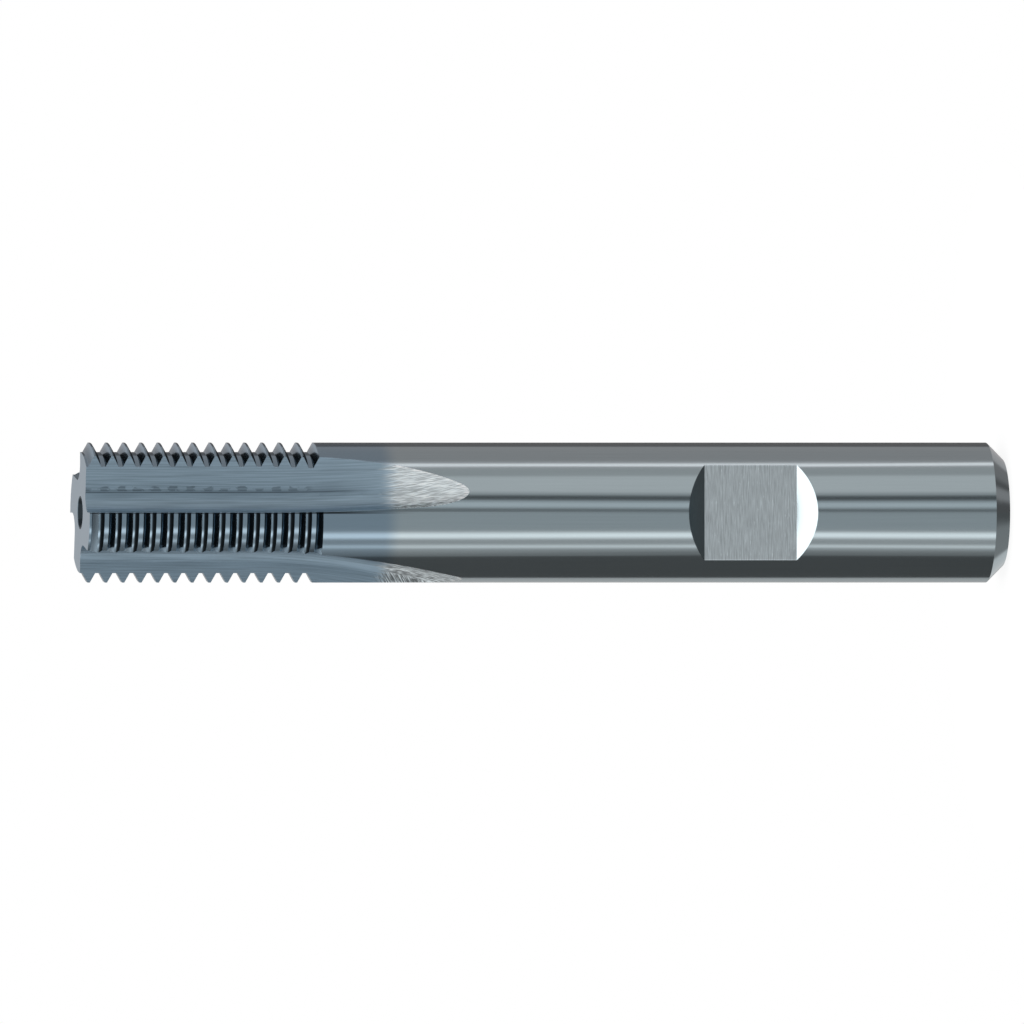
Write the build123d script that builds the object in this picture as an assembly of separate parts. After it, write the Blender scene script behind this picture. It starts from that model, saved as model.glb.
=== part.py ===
from build123d import *
import math
import os

# Thread mill ground from one carbide rod, in millimetres. It stands on its shank end: the origin
# is the middle of the rear face, and +Z runs along the axis to the cutting tip. One cutting edge
# lies on the +X side, and the clamping flat faces -Y. Seen from behind, the mill cuts clockwise.

# Rod
overall_length = 80.0
rod_diameter = 12.0
rear_chamfer = 1.4

# Thread profile: rings of 60 degree teeth with no lead, their crests at the rod's diameter
pitch = 1.5
full_teeth = 13
flank_half_angle = 30.0
crest_flat = 0.1875
root_flat = 0.375

# How far a land has fallen at its heel, as clearance behind the cutting edge
land_relief = 0.08

# Flutes: a flat rake face on the radius, a round bottom and a flat back that leans outwards
flute_count = 4
core_diameter = 6.1
flute_bottom_radius = 1.45
flute_back_lean = 11.0

# Run-out of the flutes: past the teeth at full depth, the wheel that grinds them lifts out
full_depth_teeth = 10
wheel_radius = 55.0
wheel_lift_angle = 16.2

# Clamping flat of the shank, with a slope at each end
flat_centre_height = 22.5
flat_length = 8.0
flat_depth = 1.6
flat_slope_angle = 45.0

# Coolant duct along the axis, and the centre hole that it opens into at the tip
duct_diameter = 1.2
centre_diameter = 2.9
centre_half_angle = 30.0

# How far cutting shapes reach past the surface that they cut
overshoot = 1.0

rod_radius = rod_diameter / 2
duct_radius = duct_diameter / 2
flute_step = 360 / flute_count
flank_slope = math.tan(math.radians(flank_half_angle))
tooth_depth = (pitch - crest_flat - root_flat) / 2 / flank_slope
root_radius = rod_radius - tooth_depth

# Centre of a flute's round bottom, which touches the core and the rake face
bottom_centre_x = math.sqrt((core_diameter / 2 + flute_bottom_radius) ** 2 - flute_bottom_radius**2)
bottom_centre_y = flute_bottom_radius

# Where the round bottom runs into the back, and how far the back's plane lies from the axis
back_lean = math.radians(flute_back_lean)
back_start_x = bottom_centre_x - flute_bottom_radius * math.cos(back_lean)
back_start_y = bottom_centre_y + flute_bottom_radius * math.sin(back_lean)
back_distance = back_start_x * math.cos(back_lean) - back_start_y * math.sin(back_lean)

# Angles round the axis that a flute opens at the rod's surface, and that a land fills
flute_angle = math.degrees(math.acos(back_distance / rod_radius) - back_lean)
land_angle = flute_step - flute_angle


def blank():
    """The rod with its rear chamfer, and spare stock round the tip to grind the teeth from."""
    rod = Cylinder(rod_radius, overall_length, align=(Align.CENTER, Align.CENTER, Align.MIN))
    rod = chamfer(rod.edges().sort_by(Axis.Z)[0], rear_chamfer)
    toothed_length = full_teeth * pitch
    stock_radius = rod_radius + overshoot / 2
    stock = Cylinder(stock_radius, toothed_length, align=(Align.CENTER, Align.CENTER, Align.MAX))
    return rod + Pos(0, 0, overall_length) * stock


def groove_outline():
    """What is ground away round the teeth, as radius and height, from past the tip to the neck."""
    outside = rod_radius + overshoot
    points = [(outside, overall_length + overshoot), (root_radius, overall_length + overshoot)]
    for tooth in range(full_teeth):
        root_height = overall_length - tooth * pitch
        crest_height = root_height - pitch / 2
        points.append((root_radius, root_height - root_flat / 2))
        points.append((rod_radius, crest_height + crest_flat / 2))
        points.append((rod_radius, crest_height - crest_flat / 2))
        points.append((root_radius, root_height - pitch + root_flat / 2))
    neck_height = overall_length - full_teeth * pitch - root_flat / 2
    points.append((root_radius, neck_height))
    points.append((outside, neck_height - (outside - root_radius) * flank_slope))
    return Plane.XZ * make_face(Polyline(*points, close=True))


def land_grooves():
    """The grooves of the land behind the first cutting edge, turned off centre for its relief."""
    heel_radius = rod_radius - land_relief
    off_centre = (rod_radius**2 - heel_radius**2) / (2 * heel_radius * math.sin(math.radians(land_angle)))
    relief_axis = Axis((0, off_centre, 0), (0, 0, 1))
    relief_radius = math.hypot(rod_radius, off_centre)
    edge_angle = -math.degrees(math.atan2(off_centre, rod_radius))
    margin = flute_angle / 6
    outline = Pos(relief_radius - rod_radius, off_centre, 0) * groove_outline()
    outline = outline.rotate(relief_axis, edge_angle + margin)
    return revolve(outline, relief_axis, -(land_angle + 2 * margin))


def flute_section():
    """Section of the flute ahead of the first cutting edge, open past the rod's surface."""
    outside = rod_radius + 2 * overshoot
    rake_start = (bottom_centre_x, 0)
    back_start = (back_start_x, back_start_y)
    middle_angle = math.radians(180 + (90 - flute_back_lean) / 2)
    bottom_middle = (
        bottom_centre_x + flute_bottom_radius * math.cos(middle_angle),
        bottom_centre_y + flute_bottom_radius * math.sin(middle_angle),
    )
    back_end = (back_start_x + (outside - back_start_y) * math.tan(back_lean), outside)
    bottom = ThreePointArc(rake_start, bottom_middle, back_start)
    walls = Polyline(back_start, back_end, (outside, outside), (outside, 0), rake_start)
    return make_face(bottom + walls)


def flute():
    """A flute at full depth from the tip, then ground out by the wheel's own round shape."""
    lift = math.radians(wheel_lift_angle)
    reach = wheel_radius - flute_bottom_radius
    hub = (bottom_centre_x + reach * math.cos(lift), bottom_centre_y + reach * math.sin(lift))
    full_depth_length = full_depth_teeth * pitch
    end_height = overall_length - full_depth_length
    wheel_axis = Axis((*hub, end_height), (-math.sin(lift), math.cos(lift), 0))
    section = Pos(0, 0, end_height) * flute_section()
    straight = extrude(section, full_depth_length + overshoot)
    lift_height = 2 * (rod_radius - core_diameter / 2)
    run_out_angle = math.degrees(math.acos(1 - lift_height / wheel_radius))
    return straight + revolve(section, wheel_axis, -run_out_angle)


def clamping_flat():
    """The notch that the clamping screw presses on, with sloping ends."""
    floor_y = rod_radius - flat_depth
    outside = rod_radius + overshoot
    half_bottom = flat_length / 2
    half_top = half_bottom + (outside - floor_y) / math.tan(math.radians(flat_slope_angle))
    outline = Polyline(
        (-floor_y, flat_centre_height - half_bottom),
        (-floor_y, flat_centre_height + half_bottom),
        (-outside, flat_centre_height + half_top),
        (-outside, flat_centre_height - half_top),
        close=True,
    )
    return extrude(Plane.YZ * make_face(outline), rod_radius + overshoot, both=True)


def coolant_duct():
    """The duct through the whole length, and the centre hole at the tip."""
    duct = Cylinder(duct_radius, overall_length, align=(Align.CENTER, Align.CENTER, Align.MIN))
    centre_slope = math.tan(math.radians(centre_half_angle))
    centre_depth = (centre_diameter / 2 - duct_radius) / centre_slope
    mouth_radius = centre_diameter / 2 + overshoot * centre_slope
    centre_height = centre_depth + overshoot
    centre_hole = Cone(duct_radius, mouth_radius, centre_height, align=(Align.CENTER, Align.CENTER, Align.MAX))
    return duct + Pos(0, 0, overall_length + overshoot) * centre_hole


def thread_mill():
    """The finished mill as one solid."""
    mill = blank()
    for flute_number in range(flute_count):
        turn = flute_number * flute_step
        mill -= land_grooves().rotate(Axis.Z, turn)
        mill -= flute().rotate(Axis.Z, turn)
    mill -= clamping_flat()
    mill -= coolant_duct()
    return mill


os.makedirs("parts", exist_ok=True)
mill = thread_mill()
export_step(mill, "parts/thread_mill.step")
print("solids", len(mill.solids()), "volume", round(mill.volume, 1), "box", mill.bounding_box())
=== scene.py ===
# %% [markdown]
# # A solid carbide thread mill
# The real tool is ground from one rod of carbide: a plain shank with a clamping flat, and a head
# with four flutes and rings of thread teeth. The CAD model holds those shapes. This lesson dresses
# it: a camera, a small photo studio, and finishes that follow how each surface was ground.

# %% Load the model
import bmesh
import bpy
import math
from mathutils import Matrix, Vector


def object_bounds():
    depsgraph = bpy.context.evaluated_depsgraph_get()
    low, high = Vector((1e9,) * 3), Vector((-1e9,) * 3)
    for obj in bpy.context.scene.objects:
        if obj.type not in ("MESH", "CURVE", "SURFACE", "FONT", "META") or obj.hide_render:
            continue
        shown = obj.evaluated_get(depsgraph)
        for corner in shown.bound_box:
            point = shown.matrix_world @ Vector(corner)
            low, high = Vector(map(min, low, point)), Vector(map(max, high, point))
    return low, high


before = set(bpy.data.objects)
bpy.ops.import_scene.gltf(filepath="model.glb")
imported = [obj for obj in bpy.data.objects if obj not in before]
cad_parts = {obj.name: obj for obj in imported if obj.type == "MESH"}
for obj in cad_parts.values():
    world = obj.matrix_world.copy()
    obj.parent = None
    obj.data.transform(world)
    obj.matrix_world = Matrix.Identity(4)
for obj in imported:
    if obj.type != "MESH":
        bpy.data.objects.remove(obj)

cad_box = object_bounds()
MM = 0.001
box_in_mm = [[round(value / MM, 2) for value in corner] for corner in cad_box]
print("nodes", list(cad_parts), "box in mm", box_in_mm)

# %% [markdown]
# ## The camera
# The catalogue view has no perspective: the shank's edges run parallel. So the camera is an
# orthographic one. It looks at the flat of the shank, from a little towards the tip, and it is
# rolled so that the standing mill lies across the picture with its tip on the left.

# %% Camera
view_lift = math.radians(9.3)
camera_distance = 0.5
picture_width = 87.73 * MM
look_at = Vector((0.05, 0, 42.5)) * MM
towards_camera = Vector((0, -math.cos(view_lift), math.sin(view_lift)))
picture_up = Vector((1, 0, 0))
picture_right = picture_up.cross(towards_camera)

camera = bpy.data.objects.new("camera", bpy.data.cameras.new("camera"))
camera.data.type = "ORTHO"
camera.data.ortho_scale = picture_width
camera.data.clip_start = 0.01
camera.data.clip_end = 10
turn = Matrix((picture_right, picture_up, towards_camera)).transposed().to_4x4()
camera.matrix_world = Matrix.Translation(look_at + camera_distance * towards_camera) @ turn
bpy.context.scene.collection.objects.link(camera)
bpy.context.scene.camera = camera
bpy.context.scene.view_settings.view_transform = "Standard"
print("camera looks along", [round(value, 3) for value in -towards_camera])

# %% [markdown]
# ## Shader maths as Python
# A node tree is easier to read as arithmetic. A Wire stands for a socket, and each operator on it
# adds the Math node that does the same. Every other node comes from its method node().

# %% Wire
class Wire:
    """A socket in a node tree, for shader maths in ordinary Python."""

    def __init__(self, tree, socket=None):
        self.tree = tree
        self.socket = socket

    def node(self, kind, settings=None, sockets=None, output=0):
        """Add a node: its type, then its settings, then its sockets' values or wires."""
        made = self.tree.nodes.new(kind)
        for name, setting in (settings or {}).items():
            setattr(made, name, setting)
        for name, value in (sockets or {}).items():
            if isinstance(value, Wire):
                self.tree.links.new(value.socket, made.inputs[name])
            else:
                made.inputs[name].default_value = value
        return Wire(self.tree, made.outputs[output] if made.outputs else None)

    def math(self, operation, *values):
        return self.node("ShaderNodeMath", {"operation": operation}, dict(enumerate(values)))

    def __add__(self, other):
        return self.math("ADD", self, other)

    def __sub__(self, other):
        return self.math("SUBTRACT", self, other)

    def __rsub__(self, other):
        return self.math("SUBTRACT", other, self)

    def __mul__(self, other):
        return self.math("MULTIPLY", self, other)

    def __truediv__(self, other):
        return self.math("DIVIDE", self, other)

    def __mod__(self, other):
        return self.math("FLOORED_MODULO", self, other)

    def __neg__(self):
        return self.math("MULTIPLY", self, -1)

    def __abs__(self):
        return self.math("ABSOLUTE", self)

    __radd__ = __add__
    __rmul__ = __mul__


print("a Wire adds", [name for name in vars(Wire) if name.startswith("__r")])

# %% [markdown]
# A mask is a number from 0 to 1 that says how much of something there is. Most masks here come
# from a soft step, or from two of them back to back.

# %% Masks
def rises(value, start, end):
    """A mask that goes smoothly from 0 at start to 1 at end."""
    limits = {"Value": value, "From Min": start, "From Max": end}
    return value.node("ShaderNodeMapRange", {"interpolation_type": "SMOOTHSTEP"}, limits)


def between(value, low, high, soft):
    """A mask that is 1 from low to high, with soft edges centred on both."""
    half = soft / 2
    return rises(value, low - half, low + half) * (1 - rises(value, high - half, high + half))


def blend(below, above, mask):
    """Below where the mask is 0, above where it is 1."""
    return below + mask * (above - below)


def split(vector):
    """The three parts of a vector."""
    return [vector.node("ShaderNodeSeparateXYZ", {}, {0: vector}, part) for part in range(3)]


print("masks from", rises.__name__, "and", between.__name__)

# %% [markdown]
# ## The studio
# Polished metal shows little of its own: what one sees on the shank is the studio. A strip lamp
# becomes a bright line along the rod, and a black card a dark one. Lamps could be built from
# glowing planes, but a world with soft-edged cards painted on it gives the same reflections with
# no noise. A place on that world is an azimuth, round the standing mill from the camera's side
# towards the top of the picture, and an elevation.

# %% World
world = bpy.data.worlds.new("studio")
world.use_nodes = True
world.node_tree.nodes.clear()
bpy.context.scene.world = world
sky = Wire(world.node_tree)

direction_x, direction_y, direction_z = split(sky.node("ShaderNodeTexCoord", {}, {}, "Generated"))
azimuth = sky.math("ARCTAN2", direction_x, -direction_y) * math.degrees(1)
elevation = sky.math("ARCSINE", direction_z) * math.degrees(1)
print("directions read from", world.name)

# %% [markdown]
# The rod mirrors a ring just below the horizon, from the back of the studio over the camera's side
# to the back again. Each strip of the shank in the picture is one of these cards.

# %% Cards round the rod
# Azimuth of the middle, half the width, soft edge, brightness
ring_cards = {
    "upper wall": (118, 24, 5, 0.36),
    "upper strip lamp": (88, 3.2, 4, 1.30),
    "upper window": (49.2, 15.6, 5, 0.67),
    "black flag": (24.2, 4.1, 4, 0.10),
    "middle lamp": (12.6, 4.1, 4, 0.70),
    "middle shade": (3.4, 2.5, 3.5, 0.18),
    "main strip lamp": (-38.6, 4.8, 8, 1.38),
    "low strip lamp": (-58.8, 2.7, 5, 1.02),
    "low shade": (-73, 6, 9, 0.25),
    "low black card": (-106.7, 30.3, 4, 0.09),
}
room_level = 0.46
ring_level = room_level
for middle, half_width, soft, card_level in ring_cards.values():
    card = between(azimuth, middle - half_width, middle + half_width, soft)
    ring_level = blend(ring_level, card_level, card)
print("ring of", len(ring_cards), "cards")

# %% [markdown]
# The chamfer at the rear mirrors what is under the ring, and the faces that slope towards the tip
# mirror what is above it. Their cards are wider, and each has its own height. A card whose half
# width is half a turn goes all the way round.

# %% Cards above, below and behind
# Azimuth of the middle, half the width, lowest and highest elevation, soft edge, brightness
room_cards = {
    "ceiling": (0, 180, 60, 90, 14, 0.21),
    "overhead softbox": (-10, 70, 12, 62, 14, 0.85),
    "back wall": (180, 62, 4, 46, 8, 0.66),
    "upper back softbox": (161, 16, 6, 42, 8, 0.42),
    "floor": (0, 180, -90, -38, 14, 0.12),
    "upper back card": (162, 22, -13, 1, 5, 0.14),
    "upper back window": (166, 20, -42, -17, 7, 0.46),
    "upper low card": (146, 18, -59, -42, 7, 0.24),
    "upper floor card": (138, 16, -76, -66, 4, 0.34),
    "low back window": (-158, 17.5, -20, 3, 6, 0.50),
    "low back softbox": (-159, 19, -48, -20, 6, 0.72),
    "low floor card": (-142, 22, -76, -48, 8, 0.30),
    "dark corner": (0, 70, 62, 75, 6, 0.08),
    "pale floor": (0, 60, -62, -38, 8, 0.60),
}
ring_bottom, ring_top, ring_soft = -32, 8, 4
full_turn, half_turn = 360, 180
level = blend(room_level, ring_level, between(elevation, ring_bottom, ring_top, ring_soft))
for middle, half_width, low, high, soft, card_level in room_cards.values():
    card = between(elevation, low, high, soft)
    if half_width < half_turn:
        from_middle = abs((azimuth - middle + half_turn) % full_turn - half_turn)
        card = card * (1 - rises(from_middle, half_width - soft / 2, half_width + soft / 2))
    level = blend(level, card_level, card)
print("room of", len(room_cards), "cards")

# %% [markdown]
# One round lamp hangs nearly straight above. The rear slope of the flat lies at 45 degrees, so it
# shows the camera what is overhead, as far from upright as the camera is lifted. With the lamp in
# that place, the slope turns white. The daylight on the camera's side is a little bluer than the
# lamps, and the wall above is warmer. Only glossy rays see all this: behind the mill, and on the
# floor, the sky is plain white.

# %% Round lamp and plain sky
lamp_tilt = view_lift
lamp_edge = math.radians(9)
lamp_core = math.radians(6)
lamp_level = 2.4
towards_lamp = direction_z * math.cos(lamp_tilt) - direction_y * math.sin(lamp_tilt)
lamp = rises(towards_lamp, math.cos(lamp_edge), math.cos(lamp_core))
level = blend(level, lamp_level, lamp)

daylight_takes_red, daylight_takes_green, wall_adds_red = 0.09, 0.035, 0.06
daylight = between(azimuth, -30, 30, 10) * between(elevation, -40, 12, 10)
warm_wall = rises(azimuth, 76, 86)
red = level * (1 - daylight * daylight_takes_red + warm_wall * wall_adds_red)
green = level * (1 - daylight * daylight_takes_green)
light = sky.node("ShaderNodeCombineColor", {}, {0: red, 1: green, 2: level})
cards = sky.node("ShaderNodeBackground", {}, {"Color": light, "Strength": 1})
plain = sky.node("ShaderNodeBackground", {}, {"Color": (1, 1, 1, 1), "Strength": 1})
glossy_ray = sky.node("ShaderNodeLightPath", {}, {}, "Is Glossy Ray")
surround = sky.node("ShaderNodeMixShader", {}, {0: glossy_ray, 1: plain, 2: cards})
sky.node("ShaderNodeOutputWorld", {}, {"Surface": surround})
print("studio of", len(world.node_tree.nodes), "nodes")

# %% [markdown]
# ## The floor
# The mill stands on its rear face, on a pale disc that catches a soft shadow in the views from the
# side. The disc glows a little, so that its edge is as white as the sky behind. The metal doesn't
# mirror it, as it would turn the lower half of the studio white. It lies a hair below the rear
# face, because two faces in one place would flicker. Its underside is clear, so that a view from
# below shows the whole mill.

# %% Floor
floor_radius = 30 * MM
floor_drop = 0.01 * MM

disc = bmesh.new()
bmesh.ops.create_circle(disc, segments=96, radius=floor_radius, cap_ends=True)
bmesh.ops.translate(disc, verts=disc.verts, vec=(0, 0, -floor_drop))
floor_mesh = bpy.data.meshes.new("floor")
disc.to_mesh(floor_mesh)
disc.free()
floor = bpy.data.objects.new("floor", floor_mesh)
bpy.context.scene.collection.objects.link(floor)
floor.visible_glossy = False

floor_paint = bpy.data.materials.new("floor paint")
floor_paint.use_nodes = True
floor_paint.node_tree.nodes.clear()
paint = Wire(floor_paint.node_tree)
pale = paint.node("ShaderNodeBsdfPrincipled", {}, {
    "Base Color": (0.18, 0.18, 0.18, 1), "Roughness": 0.9, "Specular IOR Level": 0,
    "Emission Color": (1, 1, 1, 1), "Emission Strength": 0.87,
})
clear = paint.node("ShaderNodeBsdfTransparent")
underside = paint.node("ShaderNodeNewGeometry", {}, {}, "Backfacing")
two_sided = paint.node("ShaderNodeMixShader", {}, {0: underside, 1: pale, 2: clear})
paint.node("ShaderNodeOutputMaterial", {}, {"Surface": two_sided})
floor_mesh.materials.append(floor_paint)
print("the floor faces", [round(value) for value in floor_mesh.polygons[0].normal])

# %% [markdown]
# ## Where on the mill
# One material covers the whole tool, as one rod of carbide does, and masks tell its surfaces
# apart. Sorting the faces into several materials would work too, but the coating ends softly, in
# the middle of them. The masks are worked out from the place of each point, so they need no
# unwrapping. Lengths are the CAD model's own, in millimetres.

# %% Places
carbide = bpy.data.materials.new("ground carbide")
carbide.use_nodes = True
carbide.node_tree.nodes.clear()
metal = Wire(carbide.node_tree)

place = metal.node("ShaderNodeTexCoord", {}, {}, "Object")
place = metal.node("ShaderNodeVectorMath", {"operation": "SCALE"}, {0: place, "Scale": 1 / MM})
x, y, z = split(place)
radius = metal.math("SQRT", x * x + y * y)
angle = metal.math("ARCTAN2", y, x) * math.degrees(1)

overall_length = 80.0
from_tip = overall_length - z
front_face = rises(z, overall_length - 0.03, overall_length - 0.01)
print("places read from", carbide.name)

# %% [markdown]
# ## The flutes
# Four flutes are ground alike, a quarter turn apart. So the angle is folded into one quarter, from
# the heel of a land to the heel of the next. Towards the shank the grinding wheel lifts out, and
# the flute runs out on a circle of the wheel's size. Undoing that circle brings every point back
# to the flute's plain section, where across is the distance from the rake face.

# %% Section of a flute
quarter = 90.0
land_angle = 35.15
wheel_radius = 55.0
bottom_radius = 1.45
bottom_centre = (4.2603, 1.45)
lift = math.radians(16.2)
run_out_start = 65.0

folded = (angle + land_angle) % quarter - land_angle
folded_radians = folded * math.radians(1)
section_x = radius * metal.math("COSINE", folded_radians)
section_y = radius * metal.math("SINE", folded_radians)
along_lift = section_x * math.cos(lift) + section_y * math.sin(lift)
beside_lift = section_y * math.cos(lift) - section_x * math.sin(lift)
centre_along_lift = bottom_centre[0] * math.cos(lift) + bottom_centre[1] * math.sin(lift)
hub_distance = centre_along_lift + wheel_radius - bottom_radius
below_start = metal.math("MAXIMUM", run_out_start - z, 0)
from_hub = hub_distance - along_lift
from_hub = metal.math("SQRT", from_hub * from_hub + below_start * below_start)
along_lift = hub_distance - from_hub
outward = along_lift * math.cos(lift) - beside_lift * math.sin(lift)
across = along_lift * math.sin(lift) + beside_lift * math.cos(lift)
print("hub of the wheel at", round(hub_distance, 2), "mm")

# %% [markdown]
# The section has a flat rake face, a round bottom and a back that leans outwards. Room is how far
# a point lies inside those walls: it is 0 on the ground surface itself, and less than 0 in the
# metal next to it. So a point belongs to the flute where its room isn't below 0. The front face is
# left out, and so is the shank.

# %% Flute mask
back_lean = math.radians(11)
back_distance = 2.455
shank_top = 30

behind_back = outward * math.cos(back_lean) - across * math.sin(back_lean) - back_distance
flat_room = metal.math("MINIMUM", behind_back, across)
beside_centre = outward - bottom_centre[0]
above_centre = across - bottom_centre[1]
from_centre = metal.math("SQRT", beside_centre * beside_centre + above_centre * above_centre)
round_room = bottom_radius - from_centre
along_back = beside_centre * math.sin(back_lean) + above_centre * math.cos(back_lean)
at_bottom = metal.math("LESS_THAN", beside_centre, 0) * metal.math("LESS_THAN", along_back, 0)
room = blend(flat_room, round_room, at_bottom)
flute = rises(room, -0.04, -0.02) * rises(z, shank_top, shank_top + 1) * (1 - front_face)
print("flute mask after", len(carbide.node_tree.nodes), "nodes")

# %% [markdown]
# ## The teeth
# Between two crests lies a V groove. Its flanks face each other, so light has to bounce two or
# three times to get out of it and the groove turns black. The flanks that face the shank are the
# darkest, as the coating grows thick and matte there, and every flank darkens towards its root.
# A land falls a little from its cutting edge to its heel, so that fall is added back to the radius
# before the flanks and crests are told apart.

# %% Flank masks
rod_radius = 6.0
root_radius = 5.188
pitch = 1.5
land_relief = 0.08
toothed_length = 20.3

heel_fall = metal.math("MINIMUM", metal.math("MAXIMUM", -folded / land_angle, 0), 1)
tooth_radius = radius + land_relief * heel_fall
teeth = (1 - flute) * (1 - rises(from_tip, toothed_length, toothed_length + 0.1))
flank = between(tooth_radius, root_radius + 0.03, rod_radius - 0.03, 0.03) * teeth
from_crest = from_tip % pitch - pitch / 2
faces_shank = rises(from_crest, -0.01, 0.01)
near_crest = rises(tooth_radius, root_radius + 0.2, rod_radius)
# Painted light and shade on the flanks: lighter near the crest, darker towards the root, and almost
# black on the side facing the shank
tip_side_painted_shading = blend(0.85, 1.5, near_crest)
shank_side_painted_shade = blend(0.03, 0.09, near_crest)
flank_painted_shading = blend(tip_side_painted_shading, shank_side_painted_shade, faces_shank)
print("teeth to", toothed_length, "mm from the tip")

# %% [markdown]
# The crests are honed a little round. Their colour is painted brighter, a painted sheen that
# strengthens their highlight, and each has painted shade on its side towards the shank. A fine dark
# line of painted shade runs along the cutting edge at the front of each land.

# %% Crest and edge masks
crested_length = 19.4
crest_curve = 0.6

has_crests = 1 - rises(from_tip, crested_length, crested_length + 0.1)
crest = rises(tooth_radius, rod_radius - 0.04, rod_radius - 0.02) * teeth * has_crests
crest_rounding = -crest_curve * from_crest * from_crest * crest
# Painted shade on each crest's side towards the shank
crest_edge_painted_shade = rises(from_crest, 0.03, 0.05) * crest
outside_roots = rises(radius, root_radius - 0.1, root_radius - 0.05)
# A fine line of painted shade along each cutting edge
cutting_edge_painted_shade = between(folded, -1, 1, 0.3) * (1 - flute) * outside_roots
print("crests to", crested_length, "mm from the tip")

# %% [markdown]
# ## The flat and the ends
# The flat was ground across the shank, down to 4.4 mm from the axis, with a slope at each end. Its
# rim along both sides has a painted glint. The slope next to the head is in shade, and a painted
# studio throws none, so a mask darkens it. The front face is ground square to the axis, with the
# centre hole in its middle, whose inside is painted dark as shade.

# %% Flat and hole masks
flat_bottom, flat_top = 18.5, 26.5
flat_distance = 4.4
flat_half_width = 4.08
hole_radius = 1.45
hole_bottom = 70

flat_floor = between(y, -flat_distance - 0.01, -flat_distance + 0.01, 0.01)
flat_floor = flat_floor * between(z, flat_bottom, flat_top, 0.02)
# A painted glint along both rims of the flat
flat_rim_painted_glint = flat_floor * rises(abs(x), flat_half_width - 0.13, flat_half_width - 0.06)
from_slope = abs(y + flat_distance + z - flat_top)
head_slope = (1 - rises(from_slope, 0.02, 0.04)) * rises(z, flat_top, flat_top + 0.02)
# The centre hole's inside is painted dark: painted shade in the recess
hole = 1 - rises(radius, hole_radius - 0.05, hole_radius + 0.01)
hole = hole * rises(z, hole_bottom, hole_bottom + 1)
print("flat from", flat_bottom, "to", flat_top, "mm")

# %% [markdown]
# ## Grinding marks
# A grinding wheel leaves fine lines along its path: along the flutes, where two passes cross, and
# across the flat. The shank is drawn through its wheels lengthways. Noise that is squeezed hard in
# one direction makes such lines. A bare number in place of a direction takes a slice of the noise,
# so that no two sets of lines are alike.

# %% Marks
def marks(first, second, third, detail):
    """Noise in a stretched space, centred on 0. A larger factor on a place makes finer lines."""
    stretched = metal.node("ShaderNodeCombineXYZ", {}, {0: first, 1: second, 2: third})
    noise = metal.node(
        "ShaderNodeTexNoise", {"noise_dimensions": "3D"},
        {"Vector": stretched, "Scale": 1, "Detail": detail, "Roughness": 0.5},
    )
    return noise * 2 - 1


flute_marks = marks(outward * 8, across * 8, z * 0.16, 2)
rising_marks = marks(outward * 15, across * 15 + z * 2, z * 0.8, 1)
level_marks = marks(outward * 17, across * 17 - z * 0.3, z * 0.7 + 17, 1)
rake_marks = marks((outward + z * 1.5) * 4.5, (outward * 1.5 - z) * 0.5, 91, 2)
flat_marks = marks(x * 0.7, z * 11, 31, 4)
flat_flecks = marks(x * 1.8, z * 9, 53, 0)
shank_marks = marks(angle * 0.9, z * 0.07, 47, 1)
print("marks after", len(carbide.node_tree.nodes), "nodes")

# %% [markdown]
# The coating covers the head, and fades out along those lines where the masking sleeve ended. Past
# it the flutes are bare, with coarse scratches, and their rim has a painted glint. On the rake face
# the scratches run another way than on the bottom and the back.

# %% Ground surfaces
coating_end, coating_start = 52.9, 54.6
streak_length = 1.3
shank_depth = 0.05

coated = rises(z + flute * (flute_marks * streak_length - 0.1), coating_end, coating_start)
bare = 1 - coated
# A painted glint along the rim of the bare run-out
run_out_rim_painted_glint = rises(radius, rod_radius - 0.14, rod_radius - 0.05) * flute * bare

on_rake = (1 - rises(across, 0.1, 0.3)) * rises(beside_centre, -0.5, -0.2)
run_out_marks = blend((rising_marks + level_marks) * 0.8, rake_marks * 1.8, on_rake)
run_out_depth = blend(1.2, 0.7, rises(across, 0.15, 0.45))
run_out_lines = (rises(run_out_marks, -0.35, 0.4) - 0.5) * run_out_depth
flute_lines = flute_marks * 0.5 - rises(flute_marks, 0.3, 0.5) * 0.28
flat_lines = flat_marks * 0.55 + rises(flat_flecks, 0.4, 0.6) * 0.2
on_rod = rises(radius, rod_radius - 0.1, rod_radius - 0.05)
shank_lines = shank_marks * on_rod * shank_depth
ground = blend(shank_lines, blend(run_out_lines, flute_lines, coated), flute)
ground = blend(ground, flat_lines, flat_floor)
print("coated above", coating_start, "mm")

# %% [markdown]
# Along the foot of a flute's back, a dull band of painted reflection darkens the coating, up to
# where the run-out rises. Its upper part is a row of blocks in the rhythm of the pitch. A fine dark
# line of painted shade marks the crease where the back meets the bottom.

# %% Painted dark reflection in the flute
back_foot = 1.73
block_offset = 0.62
block_start, block_end = 0.3, 1.1

from_foot = across - back_foot
reflection_wobble = marks(across * 6, z * 3.5, 71, 2) * 0.6
reflection_patches = rises(marks(z * 0.7, 3, 5, 1), -0.2, 0.2)
along_pitch = (from_tip + block_offset) % pitch + reflection_wobble
in_rhythm = between(along_pitch, block_start, block_end, 0.15) * rises(z, 60, 61)
blocks = between(from_foot, 0.1, 0.34 + reflection_patches * 0.22, 0.08) * in_rhythm
block_tops = between(from_foot, 0.4, 0.5, 0.06) * in_rhythm * reflection_patches
foot_band = between(from_foot, -0.02, 0.22, 0.12)
foot_line = between(from_foot, -0.08, 0.04, 0.06)
# Painted dark reflection in blocks and a band, and painted shade along the crease
painted_reflection = blocks * 0.27 + block_tops * 0.2 + foot_band * 0.2 + foot_line * 0.4
painted_reflection = painted_reflection * flute * rises(z, 55, 59)
print("stain from", back_foot, "mm across the flute")

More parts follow.
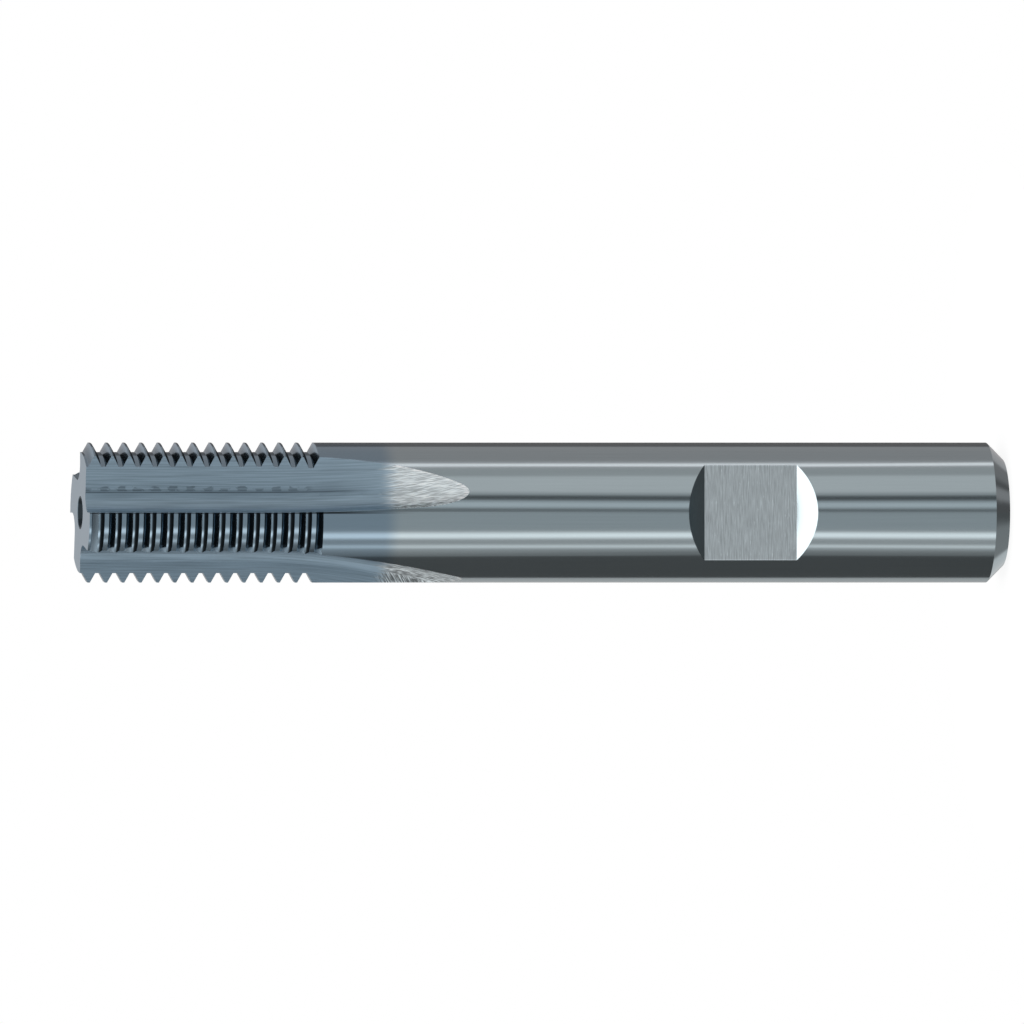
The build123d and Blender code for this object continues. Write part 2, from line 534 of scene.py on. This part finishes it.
# %% [markdown]
# ## The finish
# Bare carbide is a cool grey metal, more neutral where it is freshly ground, and the coating is a
# bluer and darker one. One colour for each surface would do, but then a coated groove and a bare
# one would need two. So there are three colours, and each surface multiplies them by a brightness.

# %% Colour
def mixed(below, above, mask):
    """One colour where the mask is 0, another where it is 1."""
    factor, below_socket, above_socket, colour_output = 0, 6, 7, 2
    sockets = {factor: mask, below_socket: below, above_socket: above}
    return metal.node("ShaderNodeMix", {"data_type": "RGBA"}, sockets, colour_output)


bare_colour = (0.455, 0.53, 0.56, 1)
fresh_colour = (0.49, 0.53, 0.545, 1)
coated_colour = (0.31, 0.41, 0.49, 1)
tint = mixed(bare_colour, fresh_colour, metal.math("MAXIMUM", flute, flat_floor))
tint = mixed(tint, coated_colour, coated)

# Brightness beside the plain rod's 1, and where it holds
surface_levels = {
    "run-out": (blend(1, 1.45, rises(across, 0.05, 0.45)), flute * bare),
    # Painted shade along the cutting edges
    "cutting edge": (0.12, cutting_edge_painted_shade * rises(z, 51, 60)),
    "flat": (1.3, flat_floor),
    # Painted glint on the rim of the flat
    "rim of the flat": (1.25, flat_rim_painted_glint),
    "head slope": (0.37, head_slope),
    "front face": (1.02, front_face),
    # Painted glint on the rim of the run-out
    "rim of the run-out": (1.15, run_out_rim_painted_glint),
    # Painted shade in the grooves, with painted light near the crests
    "flank": (flank_painted_shading, flank),
    # Painted sheen on the crests, and painted shade on their edge towards the shank
    "crest": (1.15, crest),
    "edge of the crest": (0.35, crest_edge_painted_shade),
    # Painted shade inside the centre hole
    "centre hole": (0.10, hole),
}
# Grinding marks brighten and darken the colour, and the painted reflection darkens it
brightness = (1 + ground) * (1 - painted_reflection)
for surface_level, mask in surface_levels.values():
    brightness = brightness * blend(1, surface_level, mask)
base = metal.node("ShaderNodeVectorMath", {"operation": "SCALE"}, {0: tint, "Scale": brightness})
print("colour of", len(surface_levels), "surfaces")

# %% [markdown]
# The shank is polished, and ground surfaces are duller. Where two surfaces meet, the later one in
# the list covers the earlier. The marks are also a fine relief, in millimetres, with the rounding
# of the crests on it. A Bump node turns that height into a tilt of the surface.

# %% Gloss and relief
# Roughness, and where it holds
surface_roughness = {
    "flute": (blend(0.33, 0.48, at_bottom), flute),
    "flat": (0.36, flat_floor),
    "front face": (0.3, front_face),
    "flank": (blend(0.16, 0.8, faces_shank), flank),
    "crest": (0.09, crest),
}
roughness = 0.13
for rough, mask in surface_roughness.values():
    roughness = blend(roughness, rough, mask)

mark_depth = 0.0015
height = ground * mark_depth + crest_rounding
relief = metal.node("ShaderNodeBump", {}, {"Strength": 1, "Distance": MM, "Height": height})
finish = metal.node(
    "ShaderNodeBsdfPrincipled", {},
    {"Base Color": base, "Metallic": 1, "Roughness": roughness, "Normal": relief},
)
metal.node("ShaderNodeOutputMaterial", {}, {"Surface": finish})

mill = bpy.data.objects["thread_mill"]
for slot in mill.material_slots:
    slot.material = carbide
print("finish of", len(carbide.node_tree.nodes), "nodes on", mill.name)

# %% [markdown]
# ## The last step
# The dressed model has to fill the same box as the CAD model, whose box was printed when it was
# loaded.

# %% Sizes
print("end of the lesson")
